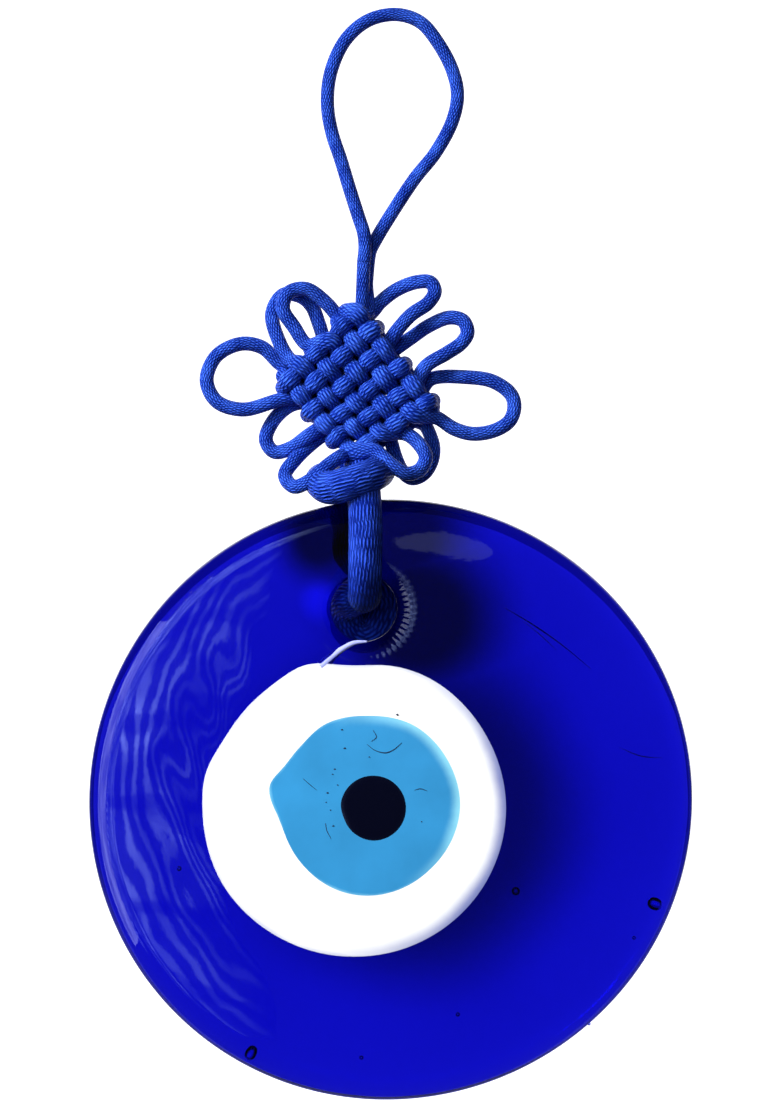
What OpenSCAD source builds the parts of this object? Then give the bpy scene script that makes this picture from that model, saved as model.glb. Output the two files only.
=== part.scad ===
// Evil eye ornament: a lampworked glass disc with an eye of layered glass, hung
// from a thick satin lanyard under a flat decorative knot with looped ears and
// a hanging loop. Millimetres, +Z up, the front faces -Y, and the origin is the
// point where the hanging loop sits on its hook.

/* [Glass disc] */
// Diameter of the glass disc
disc_d = 85; // [84:0.5:86]
// Radius of the rounding on the disc's front edge
front_round = 3.4; // [2.5:0.1:3.6]
// Radius of the rounding on the disc's back edge
back_round = 2.6; // [2:0.1:3]
// Diameter of the hanging hole at its narrowest
hole_d = 9.2; // [9:0.1:9.6]
// Radius of the rounded lip of the hanging hole
lip_r = 3.2; // [2.4:0.1:3.4]

/* [Eye] */
// Diameter of the white glass
white_d = 41.5; // [38:0.5:43]
// Diameter of the light blue glass
iris_d = 26.5; // [22:0.5:30]
// Diameter of the black glass
pupil_d = 9.4; // [8:0.2:11]
// Depth of the white glass in the disc
white_depth = 3.6; // [3:0.1:4]

/* [Cords] */
// Diameter of the thin satin cord
cord_d = 1.9; // [1.6:0.1:2]
// Diameter of the thick lanyard cord
lanyard_d = 4.7; // [4.2:0.1:4.8]

/* [Knot] */
// Thickness of the woven knot, front to back
knot_t = 7.4; // [6.8:0.1:7.8]

/* [Hidden] */

satin_blue = [0.10, 0.22, 0.62];
glass_blue = [0.02, 0.02, 0.55];
front_h = 4.3;                          // front face, measured towards -Y
back_h = -4;                            // back face
disc_at = [-1, 0, -109.5];              // centre of the disc
hole_at = [-4.7, 0, -82.5];             // centre of the hanging hole
white_at = [-5.9, 0, -110.3];
iris_at = [-4.3, 0, -110];
pupil_at = [-3.3, 0, -110.3];
iris_depth = white_depth * 0.6;
pupil_depth = white_depth * 0.4;

// Routes of the cords, as points on their centrelines.
loop_route = [
    [-4.4, -1, -30], [-5.2, -0.8, -28], [-6.7, -0.5, -23.5], [-8, -0.2, -19.5], [-9.2, 0, -15.5],
    [-9.8, 0, -11.5], [-9.3, 0, -7], [-7.2, 0, -2.5], [-4, 0, 0.2], [0, 0, 1],
    [3.3, 0, -0.1], [5.9, 0, -3.2], [7.8, 0, -6.9], [8.6, 0, -10.3], [7.8, 0.1, -13.9],
    [5.4, 0.3, -18.4], [2.5, 0.5, -22], [-0.7, 0.8, -26.8], [-2.3, 1, -30]
];
neck_front = [[-4.7, -1, -33], [-4.8, -1, -36], [-4.9, -1, -38.9]];
neck_back = [[-4, 1, -33], [-4.3, 1, -36], [-4.4, 1, -38.9]];
top_front = [[-4.9, -1, -39.4], [-5.1, -1.2, -42]];
top_back = [[-4.4, 1, -39.4], [-4.8, 1.2, -42]];
tail_a = [[-6.9, 0.6, -59.5], [-6.6, 0.6, -62], [-6.5, 0.6, -64.5]];
tail_b = [[-5.6, 2.8, -59.5], [-5.8, 2.8, -62], [-6, 2.8, -64.5]];

ear_left_route = [
    [-15, 0.6, -49.5], [-19, 0.6, -45.5], [-22, 0.4, -45.5], [-25.5, 0.2, -47], [-27, 0, -50.5],
    [-25.5, -0.2, -53.5], [-21.5, -0.6, -54.5], [-15, -0.8, -52.5]
];
ear_upper_left_outer_route = [
    [-12.5, 1.5, -48.5], [-14.5, 1.5, -48], [-16.5, 1.5, -45], [-17.5, 1.5, -41], [-16, 1.4, -38.5],
    [-13.5, 1.3, -38.5], [-12, 1.3, -40], [-11, 1.3, -42.5], [-9.5, 1.3, -46]
];
ear_upper_left_inner_route = [
    [-11, -1.3, -47.5], [-12.5, -1.3, -45.5], [-14.5, -1.3, -43], [-16, -1.3, -40.5],
    [-15.5, -1.3, -38.5], [-13, -1.3, -37.5], [-10, -1.3, -39.5], [-8, -1.3, -42], [-6.5, -1.3, -45]
];
ear_upper_right_a_route = [
    [-3.8, 1.9, -43], [-2.4, 1.8, -40.2], [0, 1, -37.5], [3, 0.4, -36.5], [4.7, 0, -36.6],
    [5.4, -0.4, -38], [4.5, -0.8, -39.5], [2, -1, -41], [-1, -1.2, -45]
];
ear_upper_right_b_route = [
    [0, 1.4, -45.5], [2, 1.4, -44], [4.5, 1, -42.5], [7.5, 0.4, -41.5], [9.4, 0, -42.1],
    [10, -0.4, -43.8], [9, -0.8, -45.2], [7, -1, -46.5], [2.5, -1.2, -49.5]
];
ear_right_route = [
    [2.5, 0.8, -50.5], [5, 0.8, -50], [10, 0.6, -50], [13.5, 0.4, -50.5], [16, 0.2, -52.3],
    [16.6, 0, -54.2], [15.8, -0.2, -56.3], [13.5, -0.4, -57.6], [10.5, -0.6, -58],
    [8, -0.8, -57.3], [3.5, -0.8, -54.5]
];
ear_lower_right_outer_route = [
    [2.5, 1.5, -55], [4.6, 1.5, -57], [5, 1.5, -60], [4.8, 1.5, -62], [3.6, 1.5, -63.8],
    [2, 1.5, -64.3], [0.6, 1.5, -63], [-0.4, 1.5, -61], [-1, 1.5, -57.5]
];
ear_lower_right_inner_route = [
    [-4.5, -2.2, -59], [-3.2, -3.6, -60.4], [-0.9, -5, -62.4], [1.3, -4.4, -63.6],
    [3.3, -3, -63], [4, -2.2, -61.2], [3, -1.8, -59.6], [0.5, -1.6, -57]
];
ear_lower_left_a_route = [
    [-13, 1.2, -52], [-15.5, 1.2, -54], [-17.5, 1.1, -56], [-18.4, 1, -58.8], [-17.2, 0.9, -60.4],
    [-15, 0.8, -60], [-12.5, 0.8, -58.4], [-10.5, 0.8, -56.5]
];
ear_lower_left_b_route = [
    [-9.5, -1.3, -57], [-11.5, -1.2, -58.6], [-14.3, -1.4, -61.6], [-15.7, -2.4, -63.9],
    [-14.4, -3.6, -65.5], [-12.2, -4.9, -64.7], [-9.8, -5.3, -62.7], [-8.2, -4.1, -61.4], [-7, -2.4, -60]
];

// The lanyard lies off the glass by this much, round the hole's lip. Behind the hole it hangs
// in a small slack turn before it climbs.
lip_gap = 0.45;
lip_at_z = hole_at[2] + hole_d / 2 + lip_r;
bend_r = lip_r + lip_gap + lanyard_d / 2;
lip_front_y = -front_h + lip_r;
lanyard_route = concat(
    [[-5.2, -1, -62.6], [-4.9, -3.2, -64.4], [-4.6, -6, -66.6], [-4.5, lip_front_y - bend_r, -70]],
    [for (a = [0:22.5:90]) [-4.5, lip_front_y - bend_r * cos(a), lip_at_z - bend_r * sin(a)]],
    [
        [-4.8, 1.2, -80.9], [-6.5, 3.8, -81.4], [-7.4, 6.2, -82.5], [-7.2, 7.8, -84.3],
        [-6.3, 8.2, -86.2], [-4.7, 8.3, -86.9], [-3, 8.2, -86.1], [-2.1, 8.4, -84],
        [-1.7, 8.5, -81.4], [-2.8, 8.4, -78.8], [-5.2, 8.1, -77.3], [-6.7, 7.4, -75],
        [-6.7, 7, -71.5], [-6.6, 6.9, -68.5], [-6.9, 6.8, -66.6]
    ]
);
wrap_route = [
    [-7.8, 6.3, -64.6], [-9.6, 4, -64.4], [-10.4, 0, -64.4], [-10.5, -3.6, -65], [-9.2, -6.5, -65.7],
    [-6.6, -7.9, -65.1], [-4.2, -6.9, -64.3], [-2.9, -4.2, -63.6], [-2.6, -1.2, -63.2],
    [-3.2, 2.2, -63.2], [-4.8, 5.4, -63.5]
];

// Points of an arc in the plane of a profile, from angle a0 to a1.
function arc(centre, r, a0, a1, steps) =
    [for (i = [0:steps]) centre + r * [cos(a0 + (a1 - a0) * i / steps), sin(a0 + (a1 - a0) * i / steps)]];

// Frames carried along a route without twist: [tangent, side] at each point.
function unit(v) = v / norm(v);
function tangent(p, i) = unit(p[min(i + 1, len(p) - 1)] - p[max(i - 1, 0)]);
function frames(p, i, side) = i == len(p) ? [] :
    let (t = tangent(p, i), s = unit(side - (side * t) * t))
    concat([[t, s]], frames(p, i + 1, s));

// A closed tube with flat ends along a route.
module cord(route, d, sides) {
    fr = frames(route, 0, [0.1, 1, 0.2]);
    n = len(route);
    ring = [for (i = [0:n - 1], k = [0:sides - 1])
        let (a = 360 * k / sides, t = fr[i][0], s = fr[i][1])
        route[i] + d / 2 * (cos(a) * s + sin(a) * cross(t, s))];
    walls = [for (i = [0:n - 2], k = [0:sides - 1])
        let (a = i * sides + k, b = i * sides + (k + 1) % sides)
        each [[a, a + sides, b], [b, a + sides, b + sides]]];
    foot = [[for (k = [0:sides - 1]) k]];
    top = [[for (k = [sides - 1:-1:0]) (n - 1) * sides + k]];
    polyhedron(concat([for (p = ring) p]), concat(walls, foot, top));
}

module thin_cord(route) { color(satin_blue) cord(route, cord_d, 8); }

// Turns a shape made about +Z so that its top faces the front.
module facing_front(at) { translate(at) rotate([90, 0, 0]) children(); }

// A pool of glass, flat on the front face, that is deepest in its middle.
module pool(at, d, depth) {
    ball_r = (d * d / 4 + depth * depth) / (2 * depth);
    facing_front(at) intersection() {
        translate([0, 0, front_h - depth]) cylinder(h = depth, d = d + 1, $fn = 96);
        translate([0, 0, front_h - depth + ball_r]) sphere(r = ball_r, $fn = 180);
    }
}

module hanging_hole() {
    r = hole_d / 2;
    facing_front(hole_at) rotate_extrude($fn = 96) polygon(concat(
        [[0, back_h - 1], [r + lip_r, back_h - 1]],
        arc([r + lip_r, back_h + lip_r], lip_r, 270, 180, 6),
        arc([r + lip_r, front_h - lip_r], lip_r, 180, 90, 6),
        [[r + lip_r, front_h + 1], [0, front_h + 1]]
    ));
}

module glass_disc() {
    r = disc_d / 2;
    color(glass_blue) difference() {
        facing_front(disc_at) rotate_extrude($fn = 180) polygon(concat(
            [[0, back_h]],
            arc([r - back_round, back_h + back_round], back_round, 270, 360, 5),
            arc([r - front_round, front_h - front_round], front_round, 0, 90, 6),
            [[0, front_h]]
        ));
        hanging_hole();
        pool(white_at, white_d, white_depth);
    }
}

module eye_white() {
    color("white") difference() {
        pool(white_at, white_d, white_depth);
        pool(iris_at, iris_d, iris_depth);
    }
}

module eye_iris() {
    color([0.25, 0.62, 0.8]) difference() {
        pool(iris_at, iris_d, iris_depth);
        pool(pupil_at, pupil_d, pupil_depth);
    }
}

module eye_pupil() { color([0.02, 0.02, 0.05]) pool(pupil_at, pupil_d, pupil_depth); }

// The woven body: a lozenge of crossing runs, four corners cut to a cord's roundness.
module knot_weave() {
    color(satin_blue) translate([0, knot_t / 2, 0]) rotate([90, 0, 0]) linear_extrude(height = knot_t)
        polygon([
            [-17.1, -50.4], [-16.6, -49.1], [-7, -40.4], [-5.2, -40.4], [-0.8, -43.6],
            [5.4, -52.6], [5.4, -54.6], [-5.4, -61], [-7.6, -61], [-16.6, -51.6]
        ]);
}

module hanging_loop() { thin_cord(loop_route); }
module neck_strands() { thin_cord(neck_front); thin_cord(neck_back); }
module knot_top_strands() { thin_cord(top_front); thin_cord(top_back); }
module ear_left() { thin_cord(ear_left_route); }
module ear_upper_left_outer() { thin_cord(ear_upper_left_outer_route); }
module ear_upper_left_inner() { thin_cord(ear_upper_left_inner_route); }
module ear_upper_right_a() { thin_cord(ear_upper_right_a_route); }
module ear_upper_right_b() { thin_cord(ear_upper_right_b_route); }
module ear_right() { thin_cord(ear_right_route); }
module ear_lower_right_outer() { thin_cord(ear_lower_right_outer_route); }
module ear_lower_right_inner() { thin_cord(ear_lower_right_inner_route); }
module ear_lower_left_a() { thin_cord(ear_lower_left_a_route); }
module ear_lower_left_b() { thin_cord(ear_lower_left_b_route); }
module knot_tails() { thin_cord(tail_a); thin_cord(tail_b); }
module lanyard() { color(satin_blue) cord(lanyard_route, lanyard_d, 12); }
module lanyard_wrap() { color(satin_blue) cord(wrap_route, lanyard_d, 12); }

hanging_loop();
neck_strands();
knot_weave();
knot_top_strands();
ear_left();
ear_upper_left_outer();
ear_upper_left_inner();
ear_upper_right_a();
ear_upper_right_b();
ear_right();
ear_lower_right_outer();
ear_lower_right_inner();
ear_lower_left_a();
ear_lower_left_b();
knot_tails();
lanyard();
lanyard_wrap();
glass_disc();
eye_white();
eye_iris();
eye_pupil();
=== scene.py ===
import math

import bpy
import numpy as np
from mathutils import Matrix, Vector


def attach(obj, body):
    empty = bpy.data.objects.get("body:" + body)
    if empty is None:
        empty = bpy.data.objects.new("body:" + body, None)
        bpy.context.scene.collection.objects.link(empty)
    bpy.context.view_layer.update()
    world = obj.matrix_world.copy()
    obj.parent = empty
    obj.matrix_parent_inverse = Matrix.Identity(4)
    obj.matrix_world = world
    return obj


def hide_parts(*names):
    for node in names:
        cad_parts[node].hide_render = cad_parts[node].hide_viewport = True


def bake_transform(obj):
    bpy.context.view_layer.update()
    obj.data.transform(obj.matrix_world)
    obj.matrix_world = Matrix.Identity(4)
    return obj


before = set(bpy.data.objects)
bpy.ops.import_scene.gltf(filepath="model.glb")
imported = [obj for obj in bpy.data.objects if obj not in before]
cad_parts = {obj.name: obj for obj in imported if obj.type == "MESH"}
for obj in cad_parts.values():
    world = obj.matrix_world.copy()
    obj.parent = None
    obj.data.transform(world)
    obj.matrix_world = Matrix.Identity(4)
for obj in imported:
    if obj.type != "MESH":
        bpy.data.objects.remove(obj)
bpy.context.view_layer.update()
MM = 0.001

# ---------------------------------------------------------------- Camera
# A straight look at the eye, level with the middle of the ornament, from far enough
# away that the disc and the loop are seen without foreshortening.
LENS_MM = 100
PICTURE_HEIGHT = 155.9 * MM
camera_data = bpy.data.cameras.new("camera")
camera_data.lens, camera_data.sensor_width = LENS_MM, 36
camera_data.clip_start, camera_data.clip_end = 0.01, 10
camera = bpy.data.objects.new("camera", camera_data)
camera.location = (-1 * MM, -PICTURE_HEIGHT * LENS_MM / 36, -74.9 * MM)
camera.rotation_euler = (math.pi / 2, 0, 0)
bpy.context.scene.collection.objects.link(camera)
bpy.context.scene.camera = camera


# ---------------------------------------------------------------- Hanging loop and neck
# One length of 2 mm rattail, a knitted satin tube, makes the loop, the neck and the whole
# knot. Here is its bight, drawn up round the hook, and the two strands of the neck, which
# lie one in front of the other.
THIN_R = 0.96
HANGING_ROUTE = [
    (-4.7, -1, -34), (-4.5, -1, -31.8), (-4.7, -1, -29.8), (-5.4, -0.8, -27.6), (-6.7, -0.5, -23.5),
    (-7.9, -0.2, -19.5), (-9.2, 0, -15.5), (-9.8, 0, -11.5), (-9.3, 0, -7), (-7.2, 0, -2.5),
    (-4, 0, 0.2), (0, 0, 1), (3.3, 0, -0.1), (5.9, 0, -3.2), (7.8, 0, -6.9), (8.5, 0, -10.3),
    (7.8, 0.1, -13.9), (5.4, 0.3, -18.4), (2.5, 0.5, -22), (-0.7, 0.8, -26.8), (-2.9, 1, -30.4),
    (-3.8, 1, -32.2), (-4.1, 1, -34)
]
NECK_FRONT = [(-4.7, -1, -34), (-4.8, -0.9, -37), (-4.9, -0.5, -39.2), (-4.9, 0, -40.6)]
NECK_BACK = [(-4.1, 1, -34), (-4.3, 1, -37), (-4.1, 1, -39.2), (-4, 0.8, -40.6)]


def even_steps(curve, step):
    """Places step apart along a curve: each column is interpolated over the running length."""
    run = np.concatenate([[0], np.cumsum(np.linalg.norm(np.diff(curve[:, :3], axis=0), axis=1))])
    at = np.linspace(0, run[-1], max(2, round(run[-1] / step) + 1))
    return np.stack([np.interp(at, run, column) for column in curve.T], axis=1)


def smooth_route(points, step):
    """A curve through the points, as places step apart. Each stretch is a cubic, whose end slopes
    are those of the parabola through the point and its two neighbours, timed by the root of
    their distances. Columns after the third, such as a radius, are carried along."""
    p = np.asarray(points, float)
    apart = np.sqrt(np.linalg.norm(np.diff(p[:, :3], axis=0), axis=1))
    gaps = np.diff(np.cumsum(np.concatenate([[0], apart])))[:, None]
    chord = np.diff(p, axis=0) / gaps
    slope = np.empty_like(p)
    slope[1:-1] = (chord[1:] * gaps[:-1] + chord[:-1] * gaps[1:]) / (gaps[1:] + gaps[:-1])
    slope[0], slope[-1] = chord[0], chord[-1]
    u = np.linspace(0, 1, 25)[None, :-1, None]
    curve = (
        (2 * u**3 - 3 * u**2 + 1) * p[:-1, None] + (3 * u**2 - 2 * u**3) * p[1:, None]
        + (u**3 - 2 * u**2 + u) * (slope[:-1] * gaps)[:, None] + (u**3 - u**2) * (slope[1:] * gaps)[:, None]
    )
    return even_steps(np.concatenate([curve.reshape(-1, p.shape[1]), p[-1:]]), step)


def carried_frames(line):
    """Two directions square to the line at each place that don't spin about it. Any square pair
    is taken first; the angle from each pair, turned over the bend, to the next pair is found,
    and the running sum of the angles says how far to turn back."""
    along = np.gradient(line, axis=0)
    along /= np.linalg.norm(along, axis=1, keepdims=True)
    upright = np.where(np.abs(along[:, 1:2]) < 0.8, [[0.0, 1, 0]], [[1.0, 0, 0]])
    a = np.cross(along, upright)
    a /= np.linalg.norm(a, axis=1, keepdims=True)
    b = np.cross(along, a)
    hinge = np.cross(along[:-1], along[1:])
    cosine = (along[:-1] * along[1:]).sum(1, keepdims=True)
    turned = a[:-1] * cosine + np.cross(hinge, a[:-1])
    turned += hinge * (hinge * a[:-1]).sum(1, keepdims=True) / (1 + cosine)
    spin = np.arctan2((turned * b[1:]).sum(1), (turned * a[1:]).sum(1))
    angle = np.concatenate([[0], np.cumsum(spin)])[:, None]
    return along, np.cos(angle) * a + np.sin(angle) * b, np.cos(angle) * b - np.sin(angle) * a


def new_piece(name, verts, faces, material):
    """A smooth-shaded mesh object from points in mm and lists of corners."""
    mesh = bpy.data.meshes.new(name)
    mesh.from_pydata((np.asarray(verts) * MM).tolist(), [], faces)
    mesh.shade_smooth()
    mesh.materials.append(material)
    piece = bpy.data.objects.new(name, mesh)
    bpy.context.scene.collection.objects.link(piece)
    return piece


def add_uv(piece, u, v):
    """A UV map from one value of u and v for each face corner."""
    layer = piece.data.uv_layers.new(name="UVMap")
    layer.data.foreach_set("uv", np.stack([u, v], axis=1).astype(np.float32).ravel())


def cord_piece(name, line, sides, material, start=0.0):
    """A closed tube along a line in mm, whose fourth column is the radius and whose fifth is the
    painted shade, darker where the cord lies under others or in shadow. Each ring is a place
    plus the radius turned round the carried frame. U goes once round the cord, and V is the
    length run, in mm."""
    n = len(line)
    along, a, b = carried_frames(line[:, :3])
    turn = np.arange(sides) * 2 * math.pi / sides
    out = np.cos(turn)[None, :, None] * a[:, None] + np.sin(turn)[None, :, None] * b[:, None]
    rings = line[:, None, :3] + line[:, None, 3:4] * out
    i = np.arange((n - 1) * sides)
    ring, k = i // sides, i % sides
    nxt = (k + 1) % sides
    here, there = ring * sides, (ring + 1) * sides
    quads = np.stack([here + k, here + nxt, there + nxt, there + k], 1)
    last = (n - 1) * sides
    faces = quads.tolist() + [list(range(sides - 1, -1, -1)), list(range(last, last + sides))]
    piece = new_piece(name, rings.reshape(-1, 3), faces, material)
    run = start + np.concatenate([[0], np.cumsum(np.linalg.norm(np.diff(line[:, :3], axis=0), axis=1))])
    u = np.stack([k, k + 1, k + 1, k], 1).ravel() / sides
    v = np.stack([run[ring], run[ring], run[ring + 1], run[ring + 1]], 1).ravel()
    caps = np.linspace(0, 1, sides)
    add_uv(piece, np.concatenate([u, caps, caps]), np.concatenate([v, caps * 0 + run[0], caps * 0 + run[-1]]))
    # The painted shade goes on as a point attribute, for the material to darken the colour.
    painted_shade = piece.data.attributes.new("painted_shade", "FLOAT", "POINT")
    painted_shade.data.foreach_set("value", np.repeat(line[:, 4], sides).astype(np.float32))
    return piece


def with_radius(points, radius, painted_shade=0.0):
    """Points with the cord's radius and its painted shade, for where it lies under others or in shadow, as
    two more columns.
    """
    return [(*p, radius, painted_shade) for p in points]


class Nodes:
    """Short ways to add shader nodes to a material."""

    def __init__(self, name):
        self.material = bpy.data.materials.new(name)
        self.material.use_nodes = True
        self.tree = self.material.node_tree
        self.shader = self.tree.nodes["Principled BSDF"]

    def add(self, kind, values=None, **settings):
        node = self.tree.nodes.new(kind)
        for key, value in settings.items():
            setattr(node, key, value)
        for key, value in (values or {}).items():
            self.put(value, node.inputs[key])
        return node

    def put(self, value, socket):
        if isinstance(value, bpy.types.NodeSocket):
            self.tree.links.new(value, socket)
        else:
            socket.default_value = value

    def math(self, operation, a, b=0.0, c=0.0):
        return self.add("ShaderNodeMath", {0: a, 1: b, 2: c}, operation=operation).outputs[0]

    def mix(self, factor, a, b):
        node = self.add("ShaderNodeMix", data_type="RGBA")
        self.put(factor, node.inputs[0])
        self.put(a, node.inputs[6])
        self.put(b, node.inputs[7])
        return node.outputs[2]

    def set(self, **sockets):
        for key, value in sockets.items():
            self.put(value, self.shader.inputs[key.replace("_", " ")])


def satin(name, strands, lay, deep, bright, relief):
    """Satin cord: a fine braid of shiny strands. Two families of strands slant opposite ways
    round the cord, and pass over and under each other like a chessboard. deep is the colour
    between strands, painted shade in the crevices, and bright the colour on top of them; lay is
    how many mm along the cord one strand takes to pass the next; relief is the strands' height
    in metres. Painted shade also darkens the colour where the cord lies under others or in shadow."""
    n = Nodes(name)
    uv = n.add("ShaderNodeSeparateXYZ", {0: n.add("ShaderNodeUVMap", uv_map="UVMap").outputs[0]})
    where = n.add("ShaderNodeTexCoord").outputs["Object"]
    wander = n.add("ShaderNodeTexNoise", {"Vector": where, "Scale": 700.0, "Detail": 3.0}).outputs[0]
    slip = n.math("MULTIPLY_ADD", wander, 1.1, -0.55)
    round_ = n.math("ADD", n.math("MULTIPLY", uv.outputs[0], strands), slip)
    along = n.math("ADD", n.math("DIVIDE", uv.outputs[1], lay), slip)
    left, right = n.math("ADD", round_, along), n.math("SUBTRACT", round_, along)
    hump_l = n.math("SINE", n.math("MULTIPLY", n.math("FRACT", left), math.pi))
    hump_r = n.math("SINE", n.math("MULTIPLY", n.math("FRACT", right), math.pi))
    chess = n.math("FLOORED_MODULO", n.math("ADD", n.math("FLOOR", left), n.math("FLOOR", right)), 2.0)
    over_l = n.math("MULTIPLY", n.math("POWER", hump_l, 0.7), n.math("MULTIPLY_ADD", hump_r, 0.6, 0.4))
    over_r = n.math("MULTIPLY", n.math("POWER", hump_r, 0.7), n.math("MULTIPLY_ADD", hump_l, 0.6, 0.4))
    shown_l = n.math("MULTIPLY", over_l, n.math("SUBTRACT", 1.0, chess))
    height = n.math("ADD", shown_l, n.math("MULTIPLY", over_r, chess))
    patches = n.add("ShaderNodeTexNoise", {"Vector": where, "Scale": 420.0, "Detail": 4.0}).outputs[0]
    tone = n.math("ADD", n.math("POWER", height, 2.0), n.math("MULTIPLY_ADD", patches, 1.3, -0.75))
    tone = n.add("ShaderNodeClamp", {0: tone}).outputs[0]
    # Painted shade where the cord lies under others or in shadow: the colour is multiplied down.
    painted_shade = n.add("ShaderNodeAttribute", attribute_name="painted_shade").outputs["Fac"]
    # Painted shade between the strands: deep there, bright on their tops.
    colour = n.mix(tone, (*deep, 1), (*bright, 1))
    shaded = n.add("ShaderNodeVectorMath", {0: colour, 1: (0.18, 0.26, 0.5)}, operation="MULTIPLY").outputs[0]
    flat = n.math("MULTIPLY_ADD", n.add("ShaderNodeClamp", {0: painted_shade}).outputs[0], -0.6, 1.0)
    bump = n.add("ShaderNodeBump", {"Strength": flat, "Distance": relief, "Height": height})
    gloss = n.math("MULTIPLY_ADD", height, -0.15, 0.48)
    n.set(
        Base_Color=n.mix(painted_shade, colour, shaded), Normal=bump.outputs[0],
        Roughness=n.math("MULTIPLY_ADD", painted_shade, 0.45, gloss),
        Specular_IOR_Level=0.25, Specular_Tint=(0.3, 0.5, 1, 1), Sheen_Weight=0.06, Sheen_Roughness=0.4,
        Sheen_Tint=(0.2, 0.45, 1, 1),
    )
    return n.material


thin_satin = satin("satin rattail", 16, 1.05, (0.002, 0.014, 0.22), (0.06, 0.18, 1.0), 0.00018)

hanging_line = smooth_route(with_radius(HANGING_ROUTE, THIN_R), 0.22)
hanging_length = float(np.linalg.norm(np.diff(hanging_line[:, :3], axis=0), axis=1).sum())
hanging = cord_piece("hanging_loop_cord", hanging_line, 20, thin_satin)
neck_front_line = smooth_route(with_radius(NECK_FRONT, THIN_R), 0.22)
neck_back_line = smooth_route(with_radius(NECK_BACK, THIN_R), 0.22)
neck_front = cord_piece("neck_cord_front", neck_front_line, 20, thin_satin)
neck_back = cord_piece("neck_cord_back", neck_back_line, 20, thin_satin, start=hanging_length)
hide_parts("hanging_loop")
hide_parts("neck_strands")
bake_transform(hanging)
for strand in (neck_front, neck_back):
    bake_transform(strand)


# ---------------------------------------------------------------- Knot
# The same cord goes on as a flat knot of six runs each way, woven over and under in a front
# and a back layer. Each run turns tightly from front to back at one end, and swings out as a
# looped ear to the next run but one at the other. Two short tails end under the wrap.
LAYER, CRIMP = 1.65, 1.0
CORNER_LEFT, CORNER_TOP = np.array([-15.2, -50.7]), np.array([-5.6, -41.3])
CORNER_BOTTOM, CORNER_RIGHT = np.array([-6.4, -60.4]), np.array([4.1, -53.9])
EAR_UPPER_LEFT_INNER = [
    (-6.9, 1.0, -43.6), (-8, 0.2, -42), (-10, -0.7, -39.6), (-12.8, -1.2, -37.7), (-15.3, -1.4, -38.3),
    (-16, -1.4, -40.5), (-14.5, -1.4, -43), (-12.5, -1.6, -45.6)
]
EAR_UPPER_LEFT_OUTER = [
    (-10.2, 1.4, -44.6), (-11, 1.3, -42.5), (-12, 1.3, -40), (-13.5, 1.3, -38.6), (-16, 1.2, -38.3),
    (-17.6, 0.6, -41), (-16.6, 0, -45), (-15, -0.8, -47.6)
]
EAR_LEFT = [
    (-16.2, 0.9, -48.3), (-19, 0.6, -45.8), (-22, 0.4, -45.3), (-25.4, 0.2, -47), (-26.8, 0, -50.4),
    (-25.4, -0.2, -53.4), (-21.7, -0.6, -54.6), (-16.6, -0.9, -53.3)
]
EAR_LOWER_LEFT_A = [
    (-15.2, 1.3, -54), (-17.4, 1.2, -56), (-18.5, 1, -58.8), (-17.3, 0.8, -60.5), (-15, 0.4, -60),
    (-12.4, -0.6, -58.2)
]
EAR_LOWER_LEFT_B = [
    (-11.4, 1.2, -58.8), (-14.3, -0.6, -61.6), (-15.7, -2.2, -63.9), (-14.4, -3.6, -65.5),
    (-12.2, -4.9, -64.7), (-9.8, -5.3, -62.7), (-8.2, -4.1, -61.5)
]
EAR_UPPER_RIGHT_A = [
    (-3.4, 1.6, -40.6), (-2.4, 1.4, -39.4), (0, 1, -37.6), (2.8, 0.4, -36.6), (4.7, 0, -36.7),
    (5.3, -0.4, -38), (4.4, -0.8, -39.6), (2, -1.1, -41.3), (0.1, -1.5, -43.4)
]
EAR_UPPER_RIGHT_B = [
    (2.1, 1.5, -44.3), (4.5, 1, -42.7), (7.4, 0.4, -41.6), (9.3, 0, -42.1), (9.9, -0.4, -43.8),
    (9, -0.8, -45.3), (7, -1.1, -46.7), (4, -1.4, -48.6)
]
EAR_RIGHT = [
    (4.8, 1.1, -50.2), (10, 0.6, -50), (13.5, 0.4, -50.6), (16, 0.2, -52.4), (16.5, 0, -54.2),
    (15.8, -0.2, -56.2), (13.5, -0.4, -57.6), (10.5, -0.6, -58), (8, -0.8, -57.3), (5.6, -1.1, -55.8)
]
EAR_LOWER_RIGHT_OUTER = [
    (4.1, 1.6, -56.9), (5.1, 1.5, -59.8), (4.8, 1.5, -62), (3.6, 1.5, -63.7), (2, 1.5, -64.2),
    (0.6, 1.5, -63), (-0.3, 1.4, -61), (-0.9, 1.3, -59)
]
EAR_LOWER_RIGHT_INNER = [
    (0.4, -0.9, -57.9), (1.7, -2, -58.3), (3.2, -2.6, -59.7), (4, -3, -61.3), (3.3, -3.6, -63),
    (1.4, -4.7, -63.7), (-0.8, -5.1, -62.5), (-3.1, -3.8, -60.5)
]


BACK_SHIFT = np.array([0.7, -0.45])
slack = np.random.default_rng(5).uniform(-0.28, 0.28, (6, 6, 2))


def crossing(column, row):
    """Where a column meets a row, in X and Z: straight between the four corners both ways."""
    u, v = column / 5, row / 5
    left = CORNER_LEFT + (CORNER_BOTTOM - CORNER_LEFT) * v
    right = CORNER_TOP + (CORNER_RIGHT - CORNER_TOP) * v
    return left + (right - left) * u


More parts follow.
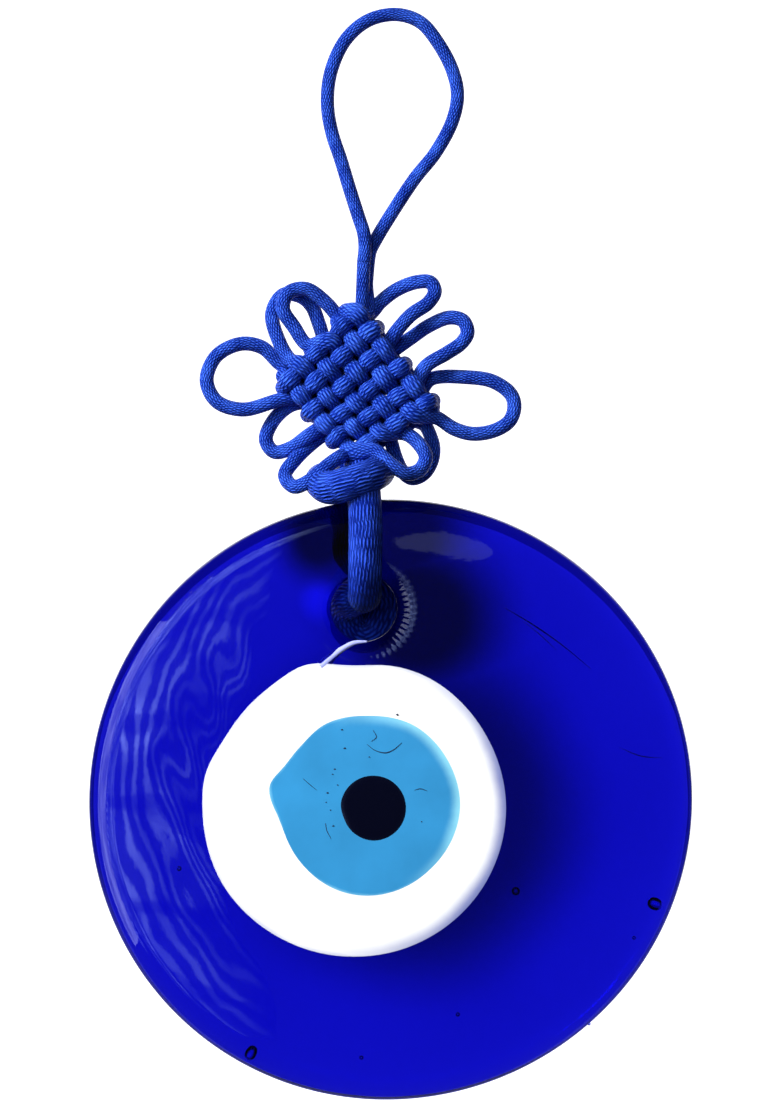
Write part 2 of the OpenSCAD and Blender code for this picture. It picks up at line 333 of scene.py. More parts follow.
def run(kind, number, side, rising):
    """The six crossings of one run, and the places halfway between them. side is -1 for the front
    layer and 1 for the back one. At every second crossing the run rises away from the middle
    of its layer and swells, and between crossings it narrows. It takes painted shade where it
    passes under, none where it passes over, and some halfway."""
    places = []
    for other in range(6) if rising else range(5, -1, -1):
        column, row = (number, other) if kind == "column" else (other, number)
        over = (column + row) % 2 == (1 if kind == "column" else 0)
        x, z = crossing(column, row) + slack[column, row] + (side > 0) * BACK_SHIFT
        swell = (1 + 0.015 * column + 0.35 * slack[row, column, 0]) * (1.32 if over else 1.08)
        depth = side * (LAYER + (CRIMP if over else -CRIMP))
        # The last value is painted shade: none where the run passes over, full where it passes under.
        places.append(np.array([x, depth, z, swell, 0.0 if over else 1.0]))
    halfway = [(here + there) / 2 * (1, 1, 1, 0.87, 1.2) for here, there in zip(places, places[1:])]
    return [tuple(place) for pair in zip(places, halfway) for place in pair] + [tuple(places[-1])]


def turn_back(kind, number, end, side):
    """The tight turn from one layer to the other past the last crossing, end being 0 or 5, with a little
    painted shade.
    """
    past = 1 if end == 5 else -1
    places = []
    for reach, depth in ((0.28, 1.4), (0.42, 0), (0.28, -1.4)):
        where = end + past * reach
        x, z = crossing(number, where) if kind == "column" else crossing(where, number)
        places.append((x, side * depth, z, 1.16, 0.3))
    return places


def out_and_back(kind, number, end, first_side):
    """One run in its first layer to the far end, the turn there, and the run back in the other."""
    rising = end == 5
    return (
        run(kind, number, first_side, rising) + turn_back(kind, number, end, first_side)
        + run(kind, number, -first_side, not rising)
    )


def ear(points):
    return with_radius(points, 1.02)


FRONT, BACK = -1, 1
# The last value of each place is painted shade: none on the neck and the ears, full on the two tails under
# the wrap; the runs take theirs where they pass under.
first_half = (
    [(-4.9, -0.2, -40, 0.96, 0), (-5.6, 0.2, -40.9, 0.96, 0), (-7.2, -0.7, -40.8, 1.1, 0)]
    + out_and_back("column", 5, 5, FRONT) + ear(EAR_UPPER_LEFT_INNER)
    + out_and_back("column", 3, 5, FRONT) + ear(EAR_UPPER_LEFT_OUTER)
    + out_and_back("column", 1, 5, FRONT) + ear(EAR_LEFT)
    + out_and_back("row", 1, 5, FRONT) + ear(EAR_LOWER_LEFT_A)
    + out_and_back("row", 3, 5, FRONT) + ear(EAR_LOWER_LEFT_B)
    + out_and_back("row", 5, 5, FRONT)
    + [(-7.4, 1.4, -61.1, 0.96, 1), (-7.1, 0.8, -62.5, 0.96, 1), (-6.8, 0.6, -64.5, 0.96, 1)]
)
second_half = (
    [(-4.1, 0.9, -40, 0.96, 0), (-4.1, 0.3, -41.1, 0.96, 0)]
    + out_and_back("row", 0, 0, FRONT) + ear(EAR_UPPER_RIGHT_A)
    + out_and_back("row", 2, 0, FRONT) + ear(EAR_UPPER_RIGHT_B)
    + out_and_back("row", 4, 0, FRONT) + ear(EAR_RIGHT)
    + out_and_back("column", 4, 0, FRONT) + ear(EAR_LOWER_RIGHT_OUTER)
    + out_and_back("column", 2, 0, BACK) + ear(EAR_LOWER_RIGHT_INNER)
    + out_and_back("column", 0, 0, FRONT)
    + [(-6.3, 2.4, -61.4, 0.96, 1), (-6, 2.8, -62.7, 0.96, 1), (-6, 2.8, -64.5, 0.96, 1)]
)
NECK_LENGTH = 6.0
for name, points, before in (
    ("knot_cord_first_half", first_half, 0.0), ("knot_cord_second_half", second_half, hanging_length)
):
    line = smooth_route(points, 0.28)
    piece = cord_piece(name, line, 18, thin_satin, start=before + NECK_LENGTH)
    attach(piece, "knot")
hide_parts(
    "knot_weave", "knot_top_strands", "ear_left", "ear_upper_left_outer",
    "ear_upper_left_inner", "ear_lower_left_a", "ear_lower_left_b", "knot_tails"
)
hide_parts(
    "ear_upper_right_a", "ear_upper_right_b", "ear_right", "ear_lower_right_outer",
    "ear_lower_right_inner"
)


# ---------------------------------------------------------------- Lanyard
# A thicker satin cord comes down from the knot in front of the glass, goes through the hole,
# climbs behind, and is wound once round its own top, slanting up to the right.
THICK_R = 2.35
LANYARD_ROUTE = [
    (-5.2, -1, -62.6), (-4.9, -3.2, -64.4), (-4.6, -6, -66.6), (-4.4, -7.1, -70), (-4.4, -7.1, -74.7),
    (-4.45, -6.6, -77.1), (-4.5, -5.3, -79), (-4.5, -3.4, -80.2), (-4.6, -1.1, -80.7), (-4.8, 1.2, -80.9),
    (-6.6, 3.8, -81.2), (-7.5, 6.2, -82.2), (-7.2, 7.8, -84.3), (-6.3, 8.2, -86.2), (-4.7, 8.3, -86.9),
    (-3, 8.2, -86.1), (-2.1, 8.4, -84), (-1.7, 8.5, -81.4), (-2.8, 8.4, -78.8), (-5.2, 8.1, -77.3),
    (-6.7, 7.4, -75), (-6.7, 7, -71.5), (-6.6, 6.9, -68.5), (-6.9, 6.8, -66.6)
]
WRAP_ROUTE = [
    (-7.8, 6.3, -64.6), (-9.6, 4, -64.4), (-10.4, 0, -64.4), (-10.5, -3.6, -65), (-9.2, -6.5, -65.7),
    (-6.6, -7.9, -65.1), (-4.2, -6.9, -64.3), (-2.9, -4.2, -63.6), (-2.6, -1.2, -63.2), (-3.2, 2.2, -63.2),
    (-4.8, 5.4, -63.5)
]
thick_satin = satin("thick satin cord", 28, 3.8, (0.002, 0.012, 0.2), (0.05, 0.15, 1.0), 0.0003)
# The last value is painted shade: some on the front strand, more as it goes down into the hole, and on the
# cord behind the glass, most on its loop below the hole; none on the wrap.
lanyard_line = smooth_route(
    with_radius(LANYARD_ROUTE[:5], THICK_R, 0.35) + with_radius(LANYARD_ROUTE[5:6], THICK_R, 0.55)
    + with_radius(LANYARD_ROUTE[6:10], THICK_R, 0.95) + with_radius(LANYARD_ROUTE[10:12], 2.7, 0.4)
    + with_radius(LANYARD_ROUTE[12:20], 2.75, 0.9) + with_radius(LANYARD_ROUTE[20:], THICK_R, 0.4)
    + with_radius(WRAP_ROUTE, THICK_R), 0.3
)
lanyard = cord_piece("lanyard_cord", lanyard_line, 48, thick_satin)
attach(lanyard, "knot")
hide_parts("lanyard", "lanyard_wrap")


# ---------------------------------------------------------------- Glass disc
# Cobalt glass poured and pressed to a disc: a flat back, a front that falls away and ripples
# towards the rim, a fire-rounded rim, and a hole pushed through with rounded lips.
DISC_AT, DISC_R = np.array([-1.0, -109.5]), 42.4
HOLE_AT, HOLE_R, LIP_R = np.array([-4.7, -82.5]), 4.6, 3.2
FRONT_H, BACK_H, WAIST_H, RIM_IN = 4.25, -3.95, -0.6, 3.4


def front_height(x, z):
    """Height of the front face towards the viewer: level in the middle, falling as a square
    towards the rim, with a few long shallow ripples that grow to the left."""
    reach = np.hypot(x - DISC_AT[0], z - DISC_AT[1])
    fall = 1.25 * np.clip((reach - 18) / 22, 0, 1.1) ** 2
    left = np.clip((-x - 8) / 20, 0, 1)
    ripple = 0.013 * np.sin(0.33 * x + 0.12 * z + 1) + 0.012 * np.sin(0.17 * x - 0.29 * z + 2)
    inner = np.exp(-(((reach - 29) / 4) ** 2))
    ripple += left * (0.005 * np.sin(0.62 * x - 0.23 * z) + 0.015 * inner * np.sin(0.8 * x + 0.45 * z + 1.3))
    return FRONT_H - 0.08 - fall + ripple


def rounded(q):
    """Depth of a quarter round, from 0 where q is 0 to 1 where q is 1."""
    return 1 - np.sqrt(np.clip(1 - q * q, 0, 1))


def loop_faces(rings, sides, closed):
    """Quads between rings of the same number of places, and from the last to the first if closed."""
    count = rings if closed else rings - 1
    i = np.arange(count * sides)
    a, k = i // sides, i % sides
    b, m = (a + 1) % rings, (k + 1) % sides
    return np.stack([a * sides + k, b * sides + k, b * sides + m, a * sides + m], 1)


def disc_mesh(sides=400):
    """The disc as rings that go round from the hole's throat over the front to the rim, and back
    over the back face. Between lip and rim, each ring's centre and radius move evenly from
    the hole's to the disc's. Fine flutes run across the lip at the hole's right, where the
    glass was chilled by the rod that made the hole."""
    lip = np.sin(np.linspace(0, 1, 11) * math.pi / 2)
    rim = np.sin(np.linspace(0, 1, 17) * math.pi / 2)
    mid = np.linspace(0, 1, 76)[1:-1]
    half = []
    for share, radius, q_lip, q_rim in (
        *[(0, HOLE_R + LIP_R * (1 - q), q, 0) for q in lip[::-1]],
        *[(s, None, 0, 0) for s in mid],
        *[(1, DISC_R - RIM_IN * (1 - q), 0, q) for q in rim],
    ):
        between = (1 - share) * (HOLE_R + LIP_R) + share * (DISC_R - RIM_IN)
        half.append((share, radius if radius else between, q_lip, q_rim))
    half = np.array(half)
    turn = np.arange(sides) * 2 * math.pi / sides
    share, radius, q_lip, q_rim = (half[:, i, None] for i in range(4))
    wobble = 1 + 0.004 * np.sin(2 * turn + 0.7) + 0.0025 * np.sin(3 * turn + 2)
    radius = radius * (1 + share * (wobble - 1))
    x = (1 - share) * HOLE_AT[0] + share * DISC_AT[0] + radius * np.cos(turn)
    z = (1 - share) * HOLE_AT[1] + share * DISC_AT[1] + radius * np.sin(turn)
    top = front_height(x, z)
    front = top - LIP_R * rounded(q_lip) - (top - WAIST_H) * rounded(q_rim)
    right = np.exp(-(((turn + 0.3 + math.pi) % (2 * math.pi) - math.pi) / 0.85) ** 2)
    front += 0.05 * right * np.cos(50 * turn) * np.sin(math.pi * q_lip)
    under = BACK_H + 0.02 * np.sin(0.8 * x) * np.sin(0.7 * z + 1)
    back = under + LIP_R * rounded(q_lip) + (WAIST_H - under) * rounded(q_rim)
    first = np.stack([x, -front, z], 2)
    second = np.stack([x, -back, z], 2)[-2::-1]
    rings = np.concatenate([first, second])
    return rings.reshape(-1, 3), loop_faces(len(rings), sides, True)


# Painted shadows in the glass colour, cast by the white pool, the cord and the knot. Each cloud: its middle
# in X and Z, the radius where it is full, the radius where it ends, its strength.
PAINTED_SHADOWS = [
    ((1.5, -111), 15, 30, 0.75), ((3, -84), 5, 17, 0.93), ((-11, -73), 2, 8, 0.92), ((0, -72), 4, 15, 0.88)
]
# The middle of a lighter patch in the glass colour at the left of the hole.
PALER_AT = (-10.3, 0, -81.5)


def cobalt_glass():
    """Transparent cobalt glass: the colour comes half from the surface and half from depth. Round
    the hole and at the pool's right the surface colour holds painted shadows of the white pool,
    the cord and the knot, in soft round clouds, each given by its middle, the radius where it is
    full, the radius where it ends and its strength. At the left of the hole the colour is lighter."""
    n = Nodes("cobalt glass")
    where = n.add("ShaderNodeTexCoord").outputs["Object"]
    slow = n.add("ShaderNodeTexNoise", {"Vector": where, "Scale": 55.0, "Detail": 2.0})
    fine = n.add("ShaderNodeTexNoise", {"Vector": where, "Scale": 400.0, "Detail": 3.0})
    height = n.math("MULTIPLY_ADD", fine.outputs[0], 0.04, slow.outputs[0])
    bump = n.add("ShaderNodeBump", {"Strength": 1.0, "Distance": 0.0001, "Height": height})
    streak = n.add("ShaderNodeTexNoise", {"Vector": where, "Scale": 30.0, "Detail": 3.0})
    flat = n.add("ShaderNodeVectorMath", {0: where, 1: (1000, 0, 1000)}, operation="MULTIPLY").outputs[0]
    # Painted shadows: the strongest cloud at each place.
    painted_shadow = 0.0
    for (x, z), full, end, strength in PAINTED_SHADOWS:
        gap = n.add("ShaderNodeVectorMath", {0: flat, 1: (x, 0, z)}, operation="DISTANCE").outputs["Value"]
        gap = n.math("MULTIPLY_ADD", streak.outputs[0], 4.0, n.math("SUBTRACT", gap, 2.0))
        cloud = n.add(
            "ShaderNodeMapRange", {0: gap, 1: full, 2: end, 3: strength, 4: 0.0},
            interpolation_type="SMOOTHSTEP"
        )
        painted_shadow = n.math("MAXIMUM", painted_shadow, cloud.outputs[0])
    tint = n.mix(streak.outputs[0], (0.03, 0.03, 0.50, 1), (0.05, 0.055, 0.66, 1))
    # A lighter patch of colour at the left of the hole.
    gap = n.add("ShaderNodeVectorMath", {0: flat, 1: PALER_AT}, operation="DISTANCE").outputs["Value"]
    paler = n.add(
        "ShaderNodeMapRange", {0: gap, 1: 0.9, 2: 4.2, 3: 1.0, 4: 0.0}, interpolation_type="SMOOTHSTEP"
    )
    tint = n.mix(paler.outputs[0], tint, (0.06, 0.06, 1, 1))
    # The painted shadows darken the surface colour.
    n.set(
        Base_Color=n.mix(painted_shadow, tint, (0.0, 0.005, 0.01, 1)), Roughness=0.02, IOR=1.5,
        Transmission_Weight=1.0, Normal=bump.outputs[0], Specular_IOR_Level=0.5,
    )
    depth = n.add("ShaderNodeVolumeAbsorption", {"Color": (0.0, 0.0, 0.82, 1), "Density": 400.0})
    n.tree.links.new(depth.outputs[0], n.tree.nodes["Material Output"].inputs["Volume"])
    return n.material


disc_verts, disc_faces = disc_mesh()
disc = new_piece("blue_glass_disc", disc_verts, disc_faces.tolist(), cobalt_glass())
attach(disc, "disc")
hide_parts("glass_disc")


# ---------------------------------------------------------------- Eye
# Three gobs of opaque glass poured one on the other while the disc was soft, and pressed
# nearly flush. Each is a pool, thickest in its middle, with a hand-poured outline.
WHITE_AT, IRIS_AT, PUPIL_AT = np.array([-5.9, -110.3]), np.array([-4.3, -110]), np.array([-3.3, -110.3])
WHITE_OUTLINE = [
    (0, 21.1), (30, 20.9), (60, 20.9), (76, 20.5), (88, 19.7), (98, 20), (108, 21.4), (122, 20.6),
    (140, 20.5), (153, 20.5), (167, 21.5), (180, 21.2), (210, 21.3), (240, 20.9), (270, 20.7),
    (300, 20.8), (330, 21)
]
IRIS_OUTLINE = [
    (0, 13.3), (30, 13.2), (60, 13.3), (90, 12.8), (118, 13.2), (135, 12.7), (156, 13), (168, 14.6),
    (178, 13.6), (188, 12.6), (200, 12.4), (225, 12.5), (250, 12.8), (270, 12.9), (315, 12.8)
]
PUPIL_OUTLINE = [(0, 4.7), (90, 4.7), (170, 4.8), (200, 4.5), (270, 4.7)]


def gob_mesh(at, outline, depth, base, proud, sides=240, top_rings=26, under_rings=14):
    """A pool of glass: its outline is a radius for each angle, eased between the given ones. Its
    edge stands base above the disc's front, its middle is a low dome, proud above the edge,
    and under it a half ellipse goes down."""
    turn = np.arange(sides) * 2 * math.pi / sides
    angles, radii = np.radians([a for a, _ in outline]), [r for _, r in outline]
    edge = np.interp(turn, angles, radii, period=2 * math.pi)
    spread = np.exp(-0.5 * (np.arange(-9, 10) / 3.2) ** 2)
    edge = np.convolve(np.tile(edge, 3), spread / spread.sum(), "same")[sides:2 * sides]
    up = np.sin(np.linspace(0, 1, top_rings + 1)[1:] * math.pi / 2)
    down = np.cos(np.linspace(0, 1, under_rings + 1)[1:-1] * math.pi / 2)
    share = np.concatenate([up, down])[:, None]
    x, z = at[0] + share * edge * np.cos(turn), at[1] + share * edge * np.sin(turn)
    on_top = np.arange(len(share))[:, None] < top_rings
    under = base - depth * np.sqrt(np.clip(1 - share**2, 0, 1))
    lift = np.where(on_top, base + proud * (1 - share**6), under)
    y = -(front_height(x, z) + lift)
    middle = front_height(np.array([at[0]]), np.array([at[1]]))[0]
    poles = [[at[0], -(middle + base + proud), at[1]], [at[0], -(middle + base - depth), at[1]]]
    verts = np.concatenate([np.stack([x, y, z], 2).reshape(-1, 3), poles])
    k = np.arange(sides)
    m, top_pole, under_pole = (k + 1) % sides, len(verts) - 2, len(verts) - 1
    last = (len(share) - 1) * sides
    fans = np.concatenate([
        np.stack([np.full(sides, top_pole), k, m], 1),
        np.stack([last + m, last + k, np.full(sides, under_pole)], 1)
    ])
    faces = loop_faces(len(share), sides, False)
    return verts, faces.tolist() + fans.tolist(), np.append(np.repeat(share[:, 0], sides), [0, 0])


def opaque_glass(name, at, radius, middle, edge, band, aim, halo, gloss=0.06, speckle=0.0):
    """Opaque glass, milky where it is thick, that takes the edge colour over a band inside its
    outline, on the side that aim points to in X and Z. A narrow halo goes all round. Both
    follow the attribute share, which is 0 at the middle and 1 at the outline."""
    n = Nodes(name)
    where = n.add("ShaderNodeTexCoord").outputs["Object"]
    middle_at = (at[0] * MM, 0, at[1] * MM)
    offset = n.add("ShaderNodeVectorMath", {0: where, 1: middle_at}, operation="SUBTRACT").outputs[0]
    aimed = (aim[0] * 1000 / radius, 0, aim[1] * 1000 / radius)
    side = n.add("ShaderNodeVectorMath", {0: offset, 1: aimed}, operation="DOT_PRODUCT").outputs["Value"]
    cloud = n.add("ShaderNodeTexNoise", {"Vector": where, "Scale": 170.0, "Detail": 4.0}).outputs[0]
    share = n.add("ShaderNodeAttribute", attribute_name="share").outputs["Fac"]
    reach = n.math("MULTIPLY_ADD", n.math("SUBTRACT", cloud, 0.5), 0.9, n.math("MULTIPLY", share, radius))
    near_edge = n.add(
        "ShaderNodeMapRange", {0: reach, 1: radius - band, 2: radius}, interpolation_type="SMOOTHSTEP"
    ).outputs[0]
    at_edge = n.add("ShaderNodeMapRange", {0: reach, 1: radius - 0.7, 2: radius, 4: halo}).outputs[0]
    side = n.add("ShaderNodeClamp", {0: side}).outputs[0]
    share = n.math("MAXIMUM", n.math("MULTIPLY", near_edge, side), at_edge)
    colour = n.mix(share, (*middle, 1), (*edge, 1))
    mottle = n.math("MULTIPLY_ADD", cloud, speckle, 1 - speckle / 2)
    colour = n.add("ShaderNodeVectorMath", {0: colour, 1: mottle}, operation="MULTIPLY").outputs[0]
    ripple = n.add("ShaderNodeTexNoise", {"Vector": where, "Scale": 90.0, "Detail": 2.0})
    bump = n.add("ShaderNodeBump", {"Strength": 0.6, "Distance": 0.0001, "Height": ripple.outputs[0]})
    n.set(Base_Color=colour, Roughness=gloss, Normal=bump.outputs[0], Specular_IOR_Level=0.5)
    return n


white_glass = opaque_glass(
    "white glass", WHITE_AT, 20.9, (0.95, 0.96, 0.97), (0.2, 0.23, 0.5), 2.2, (1.1, -0.3), 0.45
)
iris_glass = opaque_glass(
    "light blue glass", IRIS_AT, 13, (0.034, 0.27, 0.57), (0.27, 0.68, 0.85), 1.9, (1.1, 0.5), 0.8, 0.1, 0.35
)
pupil_glass = opaque_glass(
    "black glass", PUPIL_AT, 4.7, (0.0006, 0.001, 0.008), (0.003, 0.006, 0.02), 0.6, (-0.8, -0.8), 0.3, 0.12
)
for name, node_name, slot_name, at, outline, depth, base, glass in (
    ("white_glass_gob", "eye_white", "white_glass", WHITE_AT, WHITE_OUTLINE, 3.5, 0.0, white_glass),
    ("light_blue_glass_gob", "eye_iris", "light_blue_glass", IRIS_AT, IRIS_OUTLINE, 2.2, 0.08, iris_glass),
    ("black_glass_pupil", "eye_pupil", "black_glass", PUPIL_AT, PUPIL_OUTLINE, 1.4, 0.16, pupil_glass),
):
    verts, faces, share = gob_mesh(at, outline, depth, base, 0.1)
    gob = new_piece(name, verts, faces, glass.material)
    gob.data.attributes.new("share", "FLOAT", "POINT").data.foreach_set("value", share.astype(np.float32))
    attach(gob, "disc")
    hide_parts(node_name)


# ---------------------------------------------------------------- Tail, flecks and bubbles
# The white glass was drawn off towards the hole, which left a thin tail on the disc. Soot
# flecks and fine cracks lie in the light blue glass, scratches and air bubbles in the cobalt.
def on_front(points, above):
    """Places from (x, z, radius) whose tops stand above the front face by the given height."""
    p = np.array(points, float)
    y = -(front_height(p[:, 0], p[:, 1]) + above - p[:, 2])
    return np.stack([p[:, 0], y, p[:, 1], p[:, 2], p[:, 2] * 0], 1)


def thread(name, points, above, material, sides=8, step=0.12):
    """A thin closed thread of glass along places on the front face."""
    piece = cord_piece(name, smooth_route(on_front(points, above), step), sides, material)
    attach(piece, "disc")
    return piece


tail_glass = Nodes("drawn white glass")
tail_glass.set(Base_Color=(0.38, 0.42, 0.88, 1), Roughness=0.1)
TAIL = [
    (-10.6, -90.6, 0.8), (-9.6, -89.7, 0.7), (-8.4, -88.7, 0.5), (-7.4, -88, 0.4), (-6, -87.3, 0.33),
    (-4.2, -87.1, 0.15)
]
thread("white_glass_tail", TAIL, 0.07, tail_glass.material, 20)
soot = Nodes("soot in glass")
soot.set(Base_Color=(0.01, 0.02, 0.05, 1), Roughness=0.3)
CRACKS = [
    [
        (-4.2, -101.4, 0.03), (-3.2, -102.2, 0.05), (-1.6, -102.6, 0.13), (-0.4, -102.1, 0.07),
        (0.6, -101.2, 0.03)
    ],
    [(-13.1, -106.2, 0.03), (-12.2, -107, 0.05), (-11.2, -107.8, 0.03)],
    [(2.4, -107.8, 0.03), (3.2, -107.6, 0.06), (4.2, -107.9, 0.03)],
    [(-3.4, -99.4, 0.03), (-2.9, -100.4, 0.05), (-3.6, -101, 0.03)],
    [(-10, -112.4, 0.03), (-9.8, -113.4, 0.06), (-9.2, -114.6, 0.03)]
]
FLECKS = [
    (-7.3, -102, 0.16), (-7.7, -99.4, 0.12), (-8.7, -104.9, 0.13), (-9.7, -108.2, 0.15), (-8.9, -112.8, 0.14),
    (-9.3, -110.6, 0.09), (0, -97.3, 0.14), (-8.3, -107.1, 0.1), (-9.9, -109.5, 0.08), (-3.9, -103.2, 0.09),
    (-9, -105.6, 0.1), (3.4, -112.2, 0.09)
]
for number, crack in enumerate(CRACKS):
    thread(f"iris_crack_{number}", crack, 0.23, soot.material, 6)
for number, (x, z, radius) in enumerate(FLECKS):
    fleck = [(x - radius, z, radius * 0.4), (x, z + 0.03, radius), (x + radius, z - 0.02, radius * 0.4)]
    thread(f"iris_fleck_{number}", fleck, 0.26, soot.material, 8, 0.05)
scratch = Nodes("scratch")
scratch.set(Base_Color=(0.001, 0.001, 0.05, 1), Roughness=0.5)
for number, line in enumerate((
    [(15, -82.4, 0.03), (19, -84.8, 0.09), (23, -87.6, 0.07), (27, -90.9, 0.03)],
    [(31, -101.9, 0.02), (34, -103.1, 0.07), (37, -103.4, 0.02)],
    [(17.5, -84.2, 0.02), (20.2, -86.4, 0.06), (22.2, -88.3, 0.02)],
)):
    thread(f"scratch_{number}", line, 0.01, scratch.material, 6)

bubble_air = Nodes("air bubble")
bubble_air.set(Base_Color=(0.35, 0.4, 1, 1), Roughness=0.0, IOR=0.68, Transmission_Weight=1.0)
BUBBLES = [
    (-20.3, -144.6, 1, 0.8), (35.9, -123.9, 0, 0.9), (16.6, -122.1, -1, 0.6), (33.1, -128.6, -2, 0.25),
    (-5, -145.4, -1, 0.3), (-30.5, -119, 0, 0.35), (8.5, -139.5, 1, 0.3), (27, -141, 0, 0.25)
]


def bubble_mesh(at, radius, rows=16, sides=24):
    """A round bubble, as rings from pole to pole."""
    tilt = np.linspace(0, math.pi, rows + 1)[1:-1, None]
    turn = np.arange(sides) * 2 * math.pi / sides
    ball = np.stack([np.sin(tilt) * np.cos(turn), np.sin(tilt) * np.sin(turn), np.cos(tilt) + 0 * turn], 2)
    verts = np.concatenate([ball.reshape(-1, 3), [[0, 0, 1], [0, 0, -1]]]) * radius + at
    k = np.arange(sides)
    m, top, under, last = (k + 1) % sides, len(verts) - 2, len(verts) - 1, (rows - 2) * sides
    fans = np.concatenate([
        np.stack([np.full(sides, top), k, m], 1), np.stack([last + m, last + k, np.full(sides, under)], 1)
    ])
    return verts, loop_faces(rows - 1, sides, False).tolist() + fans.tolist()


for number, (x, z, y, radius) in enumerate(BUBBLES):
    verts, faces = bubble_mesh(np.array([x, y, z]), radius)
    bubble = new_piece(f"air_bubble_{number}", verts, faces, bubble_air.material)
    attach(bubble, "disc")


# ---------------------------------------------------------------- Room
# A white wall well behind, a pale floor below, a dim room in front, and soft light from the
# upper left. Blinds and a window at the left are seen only in reflections, and three blue
# panels past the wall's edges only in reflections and through the glass.
def room_plane(name, corners, colour, glow, tint=(1, 1, 1)):
    n = Nodes(name)
    n.set(Base_Color=(*colour, 1), Roughness=0.9, Emission_Color=(*tint, 1), Emission_Strength=glow)
    mesh = bpy.data.meshes.new(name)
    mesh.from_pydata(corners, [], [(0, 1, 2, 3)])
    mesh.materials.append(n.material)
    plane = bpy.data.objects.new(name, mesh)
    bpy.context.scene.collection.objects.link(plane)
    return plane


def upright(left, right, y, low, high):
    """The corners of a plane that faces the viewer."""
    return [(left, y, low), (right, y, low), (right, y, high), (left, y, high)]


def level(side, near, far, z):
    """The corners of a level plane that reaches as far to the left as to the right."""
    return [(-side, near, z), (side, near, z), (side, far, z), (-side, far, z)]


WALL_Y, WALL_SIDE, FLOOR_Z = 1.2, 0.9, -0.5
FAR_Y, LOW_Z, ROOM_SIDE, ROOM_TOP = 1.22, -0.51, 2.4, 1.8
PALE, DULL, BLUE_GLOW = (0.8, 0.8, 0.8), (0.2, 0.2, 0.2), (0.04, 0.05, 1)
room_plane("wall", upright(-WALL_SIDE, WALL_SIDE, WALL_Y, FLOOR_Z, 0.9), (0.9, 0.9, 0.9), 1.0)
for name, corners in (
    ("low_wing", level(2, 0.15, WALL_Y, FLOOR_Z)),
    ("left_wing", upright(-ROOM_SIDE, -WALL_SIDE, WALL_Y, FLOOR_Z, ROOM_TOP)),
    ("right_wing", upright(WALL_SIDE, ROOM_SIDE, WALL_Y, FLOOR_Z, ROOM_TOP)),
):
    room_plane(name, corners, DULL, 0.6, BLUE_GLOW).visible_camera = False
for name, corners, glow in (
    ("floor", level(ROOM_SIDE, -1.2, FAR_Y, LOW_Z), 0.7),
    ("far_wall", upright(-ROOM_SIDE, ROOM_SIDE, FAR_Y, LOW_Z, ROOM_TOP), 1.0),
):
    plane = room_plane(name, corners, PALE, glow)
    plane.visible_glossy = plane.visible_transmission = plane.visible_diffuse = False


def area_light(name, at, towards, size, power, colour=(1, 1, 1), seen=True):
    data = bpy.data.lights.new(name, "AREA")
    data.shape, data.size, data.size_y = "RECTANGLE", size[0], size[1]
    data.energy, data.color = power, colour
    light = bpy.data.objects.new(name, data)
    light.location = at
    aim = np.array(towards) - np.array(at)
    light.rotation_euler = Vector(aim).to_track_quat("-Z", "Y").to_euler()
    light.visible_camera = False
    light.visible_glossy = seen
    bpy.context.scene.collection.objects.link(light)
    return light


area_light("key", (-0.6, -0.42, 0.35), (0, 0, -0.08), (0.3, 0.3), 14.5, seen=False)
area_light("front", (-0.2, -0.9, 0.2), (0, 0, -0.08), (0.6, 0.6), 3.8, seen=False)
pane = area_light("pane", (0.045, -0.6, 0.045), (0.006, 0, -0.074), (0.08, 0.022), 0.0026, (0.65, 0.75, 1))
pane.data.shape = "ELLIPSE"


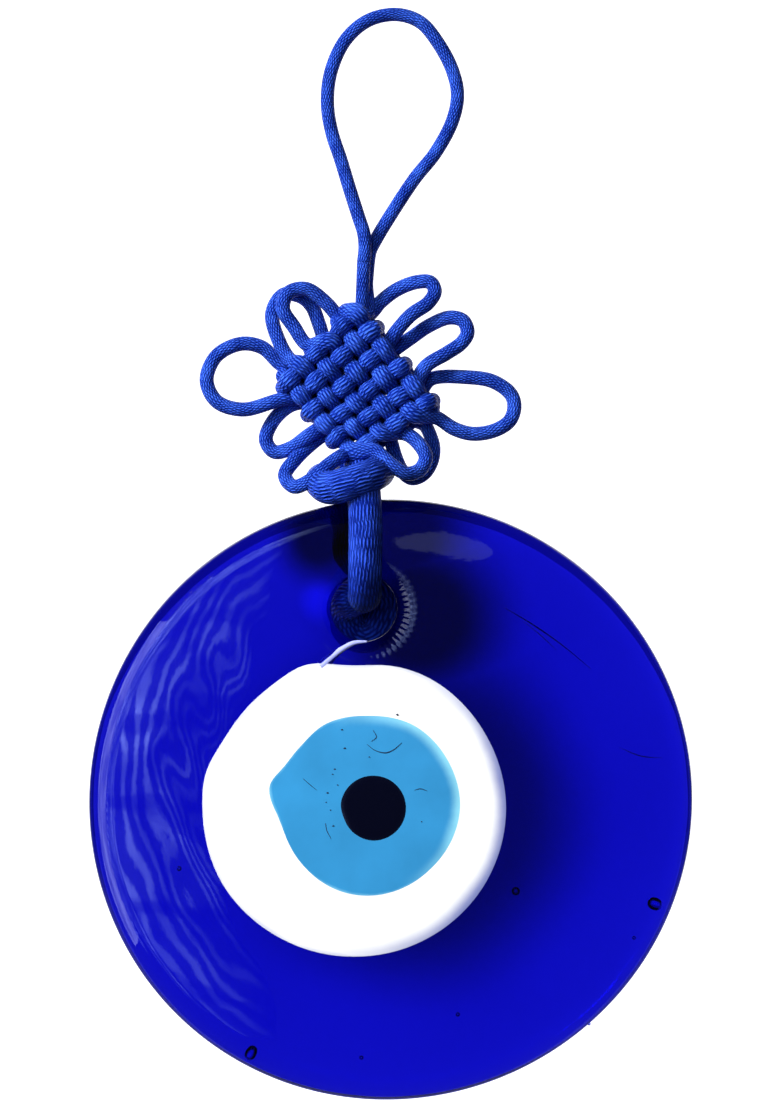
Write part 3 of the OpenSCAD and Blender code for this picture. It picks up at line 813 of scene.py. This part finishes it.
def blind_glow(name, axis, pitch, lean, strength):
    """Daylight through a slatted blind: bright stripes, even in the logarithm of the distance
    along the chosen axis, or from the middle if there is none, broken by bars, dimmed in soft
    patches and towards the floor."""
    n = Nodes(name)
    where = n.add("ShaderNodeTexCoord").outputs["Object"]
    at = n.add("ShaderNodeSeparateXYZ", {0: where})
    if axis is None:
        other = 2
        flat = n.add("ShaderNodeVectorMath", {0: where, 1: (1, 0, 0.85)}, operation="MULTIPLY").outputs[0]
        middle = (0, 0, lean)
        across = n.add("ShaderNodeVectorMath", {0: flat, 1: middle}, operation="DISTANCE").outputs["Value"]
    else:
        other = 2 - axis
        across = n.math("ABSOLUTE", n.math("MULTIPLY_ADD", at.outputs[other], lean, at.outputs[axis]))
    count = n.math("DIVIDE", n.math("LOGARITHM", across, math.e), pitch)
    wave = n.math("SINE", n.math("MULTIPLY", count, 2 * math.pi))
    stripe = n.add("ShaderNodeMapRange", {0: wave, 1: -0.1, 2: 0.8, 3: 0.1, 4: 1.0}).outputs[0]
    bars = n.math("SINE", n.math("MULTIPLY", at.outputs[other], 2 * math.pi / 0.075))
    bars = n.add("ShaderNodeMapRange", {0: bars, 1: -0.9, 2: -0.6, 3: 0.35, 4: 1.0}).outputs[0]
    patch = n.add("ShaderNodeTexNoise", {"Vector": where, "Scale": 14.0, "Detail": 2.0}).outputs[0]
    patch = n.add("ShaderNodeMapRange", {0: patch, 1: 0.38, 2: 0.68, 3: 0.15, 4: 1.7}).outputs[0]
    high = n.add("ShaderNodeMapRange", {0: at.outputs[2], 1: -0.3, 2: 0.15, 3: 0.45, 4: 1.5}).outputs[0]
    fade = n.add("ShaderNodeMapRange", {0: at.outputs[0], 1: -0.17, 2: -0.09, 3: 1.0, 4: 0.0}).outputs[0]
    high = n.math("MULTIPLY", high, fade)
    glow = n.math("MULTIPLY", n.math("MULTIPLY", stripe, bars), n.math("MULTIPLY", patch, high))
    glow = n.math("MULTIPLY", glow, strength)
    n.set(Base_Color=(0, 0, 0, 1), Emission_Color=(0.38, 0.5, 1, 1), Emission_Strength=glow)
    return n.material


def blind(name, corners, material):
    """A panel that only reflections and the glass see."""
    mesh = bpy.data.meshes.new(name)
    mesh.from_pydata(corners, [], [(0, 1, 2, 3)])
    mesh.materials.append(material)
    piece = bpy.data.objects.new(name, mesh)
    piece.visible_camera = piece.visible_shadow = piece.visible_diffuse = False
    bpy.context.scene.collection.objects.link(piece)


blind(
    "near_blind", [(-0.62, -0.62, -0.36), (-0.09, -0.62, -0.36), (-0.09, -0.62, 0.4), (-0.62, -0.62, 0.4)],
    blind_glow("near blind", None, 0.1, -0.09, 5.0)
)
blind(
    "side_blind", [(-0.42, -0.4, -0.4), (-0.36, -0.44, -0.4), (-0.36, -0.44, 0.3), (-0.42, -0.4, 0.3)],
    blind_glow("side blind", 2, 0.06, 0.0, 10.0)
)
window = Nodes("side window")
where = window.add("ShaderNodeTexCoord").outputs["Object"]
cloud = window.add("ShaderNodeTexNoise", {"Vector": where, "Scale": 11.0, "Detail": 3.0}).outputs[0]
glow = window.add("ShaderNodeMapRange", {0: cloud, 1: 0.35, 2: 0.65, 3: 1.2, 4: 5.5}).outputs[0]
window.set(Base_Color=(0, 0, 0, 1), Emission_Color=(0.6, 0.66, 1, 1), Emission_Strength=glow)
blind(
    "side_window", [(-0.6, -0.6, -0.5), (-0.6, -0.1, -0.5), (-0.6, -0.1, 0.3), (-0.6, -0.6, 0.3)],
    window.material
)

world = bpy.data.worlds.new("room")
bpy.context.scene.world = world
world.use_nodes = True
world.node_tree.nodes["Background"].inputs[0].default_value = (0.9, 0.93, 1, 1)
world.node_tree.nodes["Background"].inputs[1].default_value = 0.04
bpy.context.scene.view_settings.view_transform = "Standard"
bpy.context.scene.view_settings.look = "None"
